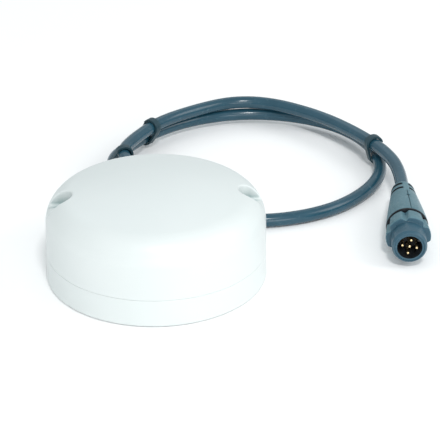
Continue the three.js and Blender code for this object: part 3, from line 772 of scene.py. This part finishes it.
def body_mesh():
    """The plug's overmould, with a mould line down each of its two spines, relief slots that stop
    short of them, and a dot"""
    spines = (SPINE_CLOCK, SPINE_CLOCK + 180)

    def moulded(radius, height, angle):
        station = -height
        from_spine = np.minimum(*[clock_gap(angle, clock) for clock in spines])
        depth = np.zeros_like(radius)
        spine, fade = RELIEF_SLOTS["spine"], RELIEF_SLOTS["fade"]
        for slot in RELIEF_SLOTS["stations"]:
            away = np.abs(station - slot) / RELIEF_SLOTS["half_width"]
            across = 1 - ramp(away, RELIEF_SLOTS["floor"], RELIEF_SLOTS["rim"])
            depth += RELIEF_SLOTS["depth"] * across * ramp(from_spine * radius, spine, spine + fade)
        dot = np.hypot(station - MOULD_DOT["station"], clock_gap(angle, SPINE_CLOCK) * radius)
        dot_floor = MOULD_DOT["floor"] * MOULD_DOT["radius"]
        depth += MOULD_DOT["depth"] * (1 - ramp(dot, dot_floor, MOULD_DOT["radius"]))
        front, back, fade = MOULD_LINE["front"], MOULD_LINE["back"], MOULD_LINE["fade"]
        on_line = ramp(station, front, front + fade) * (1 - ramp(station, back - fade, back))
        depth += MOULD_LINE["depth"] * on_line * (1 - ramp(from_spine * radius, 0, MOULD_LINE["half_width"]))
        return radius - np.where(on_body_side(station, radius), depth, 0)

    angles = crowded_angles([90 - clock for clock in spines], 24, 1, 3)
    body = revolve("plug_overmould", softened(at_stations(body_outline()), 4), angles, moulded)
    # The floors of the slots and of the dot, and both ends of the body, are painted black as shade. The front end
    # shows as the gap behind the nut
    stations, radii = zip(*BODY)
    shaded = []
    for face in body.data.polygons:
        station, radius = -face.center.z, math.hypot(*face.center[:2])
        sunk = np.interp(station, stations, radii) - radius > SHADED_DEPTH
        if station < BODY[0][0] + SHADED_FRONT or (sunk and on_body_side(station, radius)):
            shaded.append(face.index)
    as_piece(body, "plug_shell", HOUSING_BODY, ["plug_body"], plug_place(), 50)
    return show_as(body, shaded, "black_plastic")


def pin_meshes():
    """Four round contacts on a circle and one in the middle, with rounded tips"""
    radius, front, back = PIN["radius"], PIN["front"], PIN["back"]
    corners = [(back, 0, 0), (back, radius, 0.1), (front, radius, 0.42), (front, 0, 0)]
    outline = softened(at_stations(corners), 6)
    places = [(PIN["circle"] * math.cos(turn), PIN["circle"] * math.sin(turn)) for turn in even_angles(4)]
    rolled = plug_place() @ Matrix.Rotation(-math.radians(PLUG_ROLL), 4, "Z")
    made = []
    for i, (x, y) in enumerate([*places, (0, 0)], 1):
        pin = revolve(f"gilt_pin_{i}", outline, even_angles(28))
        place = rolled @ Matrix.Translation((x, y, 0))
        made.append(as_piece(pin, "gilt_contact", HOUSING_BODY, [f"contact_pin_{i}"], place))
    return made


# Housing: the dome, the shoulder and the drafted wall are tangent to each other
def wall_radius(z):
    return BASE_RADIUS - z * math.tan(DRAFT)


def shoulder_centre():
    """The radius and height of the centre of the shoulder's arc"""
    slope = math.tan(DRAFT)
    reach = BASE_RADIUS - SHOULDER_RADIUS / math.cos(DRAFT)
    half = reach * slope + DOME_CENTRE_Z
    rest = reach**2 + DOME_CENTRE_Z**2 - (DOME_RADIUS - SHOULDER_RADIUS) ** 2
    z = (half + math.sqrt(half**2 - (1 + slope**2) * rest)) / (1 + slope**2)
    return reach - slope * z, z


SHOULDER_R, SHOULDER_Z = shoulder_centre()
MEETING = math.atan2(SHOULDER_R, SHOULDER_Z - DOME_CENTRE_Z)


def shell_outline(inset, low, dome_steps, shoulder_steps, wall_steps):
    """The shell's outline from the top of the dome down to low, moved inwards by inset"""
    dome, bend = DOME_RADIUS - inset, SHOULDER_RADIUS - inset
    outline = [
        (dome * math.sin(angle), DOME_CENTRE_Z + dome * math.cos(angle))
        for angle in np.linspace(0, MEETING, dome_steps + 1)
    ]
    outline += [
        (SHOULDER_R + bend * math.sin(angle), SHOULDER_Z + bend * math.cos(angle))
        for angle in np.linspace(MEETING, math.pi / 2 - DRAFT, shoulder_steps + 1)[1:]
    ]
    wall_top = outline[-1][1]
    shift = inset / math.cos(DRAFT)
    outline += [(wall_radius(z) - shift, z) for z in np.linspace(wall_top, low, wall_steps + 1)[1:]]
    return outline


def round_meeting(first, second, rounding):
    """Distance from the overlap of two solids, with the edge where they cross rounded"""
    reach = np.hypot(np.maximum(first + rounding, 0), np.maximum(second + rounding, 0))
    return np.minimum(-rounding, np.maximum(first, second)) + reach


def shell_distance(points):
    """Distance from the housing's outside without its pockets, less than zero inside"""
    reach, z = np.hypot(points[:, 0], points[:, 1]), points[:, 2]
    dome = np.hypot(reach, z - DOME_CENTRE_Z) - DOME_RADIUS
    bend = np.hypot(reach - SHOULDER_R, z - SHOULDER_Z) - SHOULDER_RADIUS
    wall = (reach - BASE_RADIUS + z * math.tan(DRAFT)) * math.cos(DRAFT)
    on_dome = np.arctan2(reach, z - DOME_CENTRE_Z) < MEETING
    on_bend = np.arctan2(z - SHOULDER_Z, reach - SHOULDER_R) > DRAFT
    return np.where(on_dome, dome, np.where(on_bend, bend, wall))


def beside_pocket(points):
    """Distance from the upright sides of the screw pockets, less than zero between them"""
    inward = np.minimum(np.abs(points[:, 0]) - SCREW_X, 0)
    return np.hypot(inward, points[:, 1]) - POCKET_HALF_WIDTH


def sharp_pocket_distance(points):
    """Distance from the two screw pockets, with their edges left sharp"""
    return np.maximum(beside_pocket(points), POCKET_FLOOR_Z - points[:, 2])


def pocket_distance(points):
    """Distance from the two screw pockets with rounded floors, less than zero inside them"""
    return round_meeting(beside_pocket(points), POCKET_FLOOR_Z - points[:, 2], POCKET_FLOOR_ROUNDING)


def cover_distance(points):
    """Distance from the cover's outside with its pockets cut and their edges rounded"""
    return round_meeting(shell_distance(points), -pocket_distance(points), POCKET_RIM_ROUNDING)


def gradient(distance, points, step=0.01):
    """How fast a distance grows along each axis at each point"""
    rises = [distance(points + side) - distance(points - side) for side in np.eye(3) * step]
    return np.stack(rises, axis=1) / (2 * step)


def pocket_tool(sign):
    """The space of one screw pocket, finely divided so that its edges can be rounded afterwards"""
    far = BASE_RADIUS + 4
    floor = [(POCKET_HALF_WIDTH - inset, POCKET_FLOOR_Z) for inset in np.arange(1.5, 0, -0.25)]
    wall = [(POCKET_HALF_WIDTH, z) for z in np.arange(POCKET_FLOOR_Z, HEIGHT + 2, POCKET_STEP)]
    rows = []
    for half_width, z in floor + wall:
        side = [(x, half_width) for x in np.arange(far, SCREW_X, -POCKET_STEP)]
        turns = np.linspace(math.pi / 2, math.pi * 1.5, 45)
        bend = [(SCREW_X + half_width * math.cos(turn), half_width * math.sin(turn)) for turn in turns]
        other = [(x, -y) for x, y in reversed(side)]
        rows.append([(sign * x, y, z) for x, y in side + bend + other])
    return stacked("pocket", rows)


def hole_tool(x, low, high):
    """A screw hole between two flat faces, flared a little at each"""
    radius, flare = SCREW_HOLE_RADIUS, SCREW_HOLE_FLARE
    corners = [
        (0, low - 1), (radius + flare, low - 1), (radius + flare, low), (radius, low + flare),
        (radius, high - flare), (radius + flare, high), (radius + flare, high + 1), (0, high + 1),
    ]
    tool = revolve("hole", corners, even_angles(48))
    tool.data.transform(Matrix.Translation((x, 0, 0)))
    return tool


def move_to_rounded(mesh):
    """Moves the outside's points on to the true surface with its rounded pocket edges"""
    points = np.array([vertex.co for vertex in mesh.vertices], float)
    outside = np.abs(np.maximum(shell_distance(points), -sharp_pocket_distance(points))) < ON_SURFACE
    moving = outside & (points[:, 2] > POCKET_FLOOR_Z - 2)
    for _ in range(ROUNDING_PASSES):
        slope = gradient(cover_distance, points[moving])
        steep = np.maximum((slope**2).sum(axis=1), LEAST_SLOPE)
        points[moving] -= slope * (cover_distance(points[moving]) / steep)[:, None]
    mesh.vertices.foreach_set("co", points.astype(np.float32).ravel())
    mesh.update()


def true_normals(mesh):
    """Shades the outside with the true surface's own normals, and the rest by its faces"""
    points = np.array([vertex.co for vertex in mesh.vertices], float) / MM
    slope = gradient(cover_distance, points)
    slope /= np.maximum(np.linalg.norm(slope, axis=1), 1e-9)[:, None]
    on_surface = np.abs(cover_distance(points)) < ON_SURFACE
    normals = np.array([corner.vector for corner in mesh.corner_normals], float)
    faces = np.array([face.normal for face in mesh.polygons], float)
    face_of = np.repeat(np.arange(len(faces)), [face.loop_total for face in mesh.polygons])
    vertex_of = np.array([loop.vertex_index for loop in mesh.loops])
    agrees = (slope[vertex_of] * faces[face_of]).sum(axis=1) > MIN_AGREEMENT
    use = on_surface[vertex_of] & agrees
    normals[use] = slope[vertex_of[use]]
    mesh.normals_split_custom_set(normals)


def cover_mesh():
    """The radome: a fine skin over the CAD cover's inside, with its pockets and screw holes"""
    edge = [(wall_radius(COVER_LOW), COVER_LOW, SEAM_ROUNDING), (wall_radius(COVER_LOW) - SKIN, COVER_LOW, 0)]
    outer = shell_outline(0, COVER_LOW + 1, 60, 44, 12)
    lip = softened([(*outer[-1], 0), *edge], 4)[1:]
    inner = shell_outline(SKIN, COVER_LOW + 0.5, 24, 12, 4)[::-1]
    angles = crowded_angles([0, 180], 12, 0.5, 2.5)
    skin = revolve("cover_shell", np.array([*outer, *lip, *inner]), angles)
    envelope = revolve("envelope", [*shell_outline(SKIN / 2, COVER_LOW - 1, 16, 8, 2), (0, COVER_LOW - 1)],
                       even_angles(96))
    inside = combine(copy_of_node("radome_cover"), ("INTERSECT", envelope))
    combine(skin, ("UNION", inside), ("DIFFERENCE", pocket_tool(1)), ("DIFFERENCE", pocket_tool(-1)),
            ("DIFFERENCE", hole_tool(SCREW_X, COVER_LOW, POCKET_FLOOR_Z)),
            ("DIFFERENCE", hole_tool(-SCREW_X, COVER_LOW, POCKET_FLOOR_Z)))
    move_to_rounded(skin.data)
    as_piece(skin, "housing_white", HOUSING_BODY, ["radome_cover"], smooth_below=30, weighted=False)
    true_normals(skin.data)
    return skin


def base_mesh():
    """The base: a fine outer ring over the CAD base's inside, with screw holes and cable exit"""
    ring_outer = wall_radius(BASE_TOP)
    ring_inner = ring_outer - BASE_RING["thickness"]
    floor_top = BASE_RING["floor"]
    corners = [
        (PAD_RECESS_RADIUS, 0, 0.2), (wall_radius(0), 0, FOOT_ROUNDING),
        (ring_outer, BASE_TOP, SEAM_ROUNDING), (ring_inner, BASE_TOP, 0),
        (ring_inner, floor_top, 0), (PAD_RECESS_RADIUS, floor_top, 0),
    ]
    ring = revolve("base_ring", softened(corners, 6), even_angles(192))
    reach, low, high = ring_inner + BASE_RING["overlap"], -0.5, 20
    envelope = revolve("envelope", [(0, low), (reach, low), (reach, high), (0, high)], even_angles(96))
    inside = combine(copy_of_node("base_housing"), ("INTERSECT", envelope))
    radius, front, back = EXIT_HOLE["radius"], EXIT_HOLE["front"], EXIT_HOLE["back"]
    exit_hole = revolve("exit", [(0, front), (radius, front), (radius, back), (0, back)], even_angles(48))
    exit_hole.data.transform(Matrix.Translation((0, 0, EXIT_Z)) @ Matrix.Rotation(-math.pi / 2, 4, "X"))
    combine(ring, ("UNION", inside), ("DIFFERENCE", exit_hole),
            ("DIFFERENCE", hole_tool(SCREW_X, 0, BASE_TOP)), ("DIFFERENCE", hole_tool(-SCREW_X, 0, BASE_TOP)))
    return as_piece(ring, "housing_white", HOUSING_BODY, ["base_housing"], smooth_below=30)


# Studio, in metres
FLOOR_HALF = 6
FLOOR_DROP = 0.0002


def add_floor():
    half = FLOOR_HALF
    corners = [(-half, -half, 0), (half, -half, 0), (half, half, 0), (-half, half, 0)]
    floor = add_object("floor", corners, [[0, 1, 2, 3]])
    surface = Surface("floor_paper", 0.85, specular=0.1)
    dark, light = (0.985, 0.985, 0.985), (0.995, 0.995, 0.995)
    surface.colour(surface.blend(surface.noise(400, 2), dark, light, 0.3, 0.7))
    floor.data.materials.append(surface.material)
    floor.location.z = -FLOOR_DROP


def add_area_light(name, place, target, size, power, colour=(1, 1, 1)):
    data = bpy.data.lights.new(name, "AREA")
    data.shape, data.size, data.size_y = "RECTANGLE", *size
    data.energy, data.color = power, colour
    light = bpy.data.objects.new(name, data)
    light.location = place
    light.rotation_euler = (Vector(target) - Vector(place)).to_track_quat("-Z", "Y").to_euler()
    scene.collection.objects.link(light)


def add_world():
    world = bpy.data.worlds.new("studio")
    world.use_nodes = True
    background = world.node_tree.nodes["Background"]
    background.inputs["Color"].default_value = (0.94, 0.985, 1.0, 1)
    background.inputs["Strength"].default_value = 0.72
    scene.world = world


def add_studio():
    scene.view_settings.view_transform = "Standard"
    add_world()
    add_floor()
    add_area_light("strip", (0.11, -0.72, 0.95), (0.03, 0.08, 0), (0.17, 0.05), 5)
    add_area_light("front", (0.25, -1.3, 0.28), (0.02, 0.0, 0.02), (1.0, 0.4), 4.4, (1, 0.96, 0.955))
    add_area_light("right", (1.0, -0.2, 0.7), (0.02, 0.03, 0), (0.6, 0.6), 3)
    add_area_light("back", (-0.1, 1.0, 0.9), (0.02, 0.06, 0), (1.2, 0.3), 0.9, (0.85, 0.95, 1))


def dress_nodes():
    """Gives every CAD node the procedural surface of its own slot"""
    for part in frame["record"]["subparts"]:
        shown = frame["nodes"][part["node"]].data
        shown.materials.clear()
        shown.materials.append(SURFACES[part["material_slot"]])
        shown.shade_smooth()
        shown.set_sharp_from_angle(angle=math.radians(SMOOTH_BELOW))


add_camera()
line = route_line(CABLE_STEPS)
cable = as_piece(cable_mesh(line), "cable_sheath", HOUSING_BODY, ["cable_jacket"], smooth_below=60)
boot = boot_mesh()
ties = [tie_mesh(name, centre, line) for name, centre in TIES.items()]
plug_pieces = [nut_mesh(), shroud_mesh(), body_mesh(), *pin_meshes(), frame["nodes"]["contact_carrier"]]
cover_mesh()
base_mesh()
dress_nodes()
add_studio()
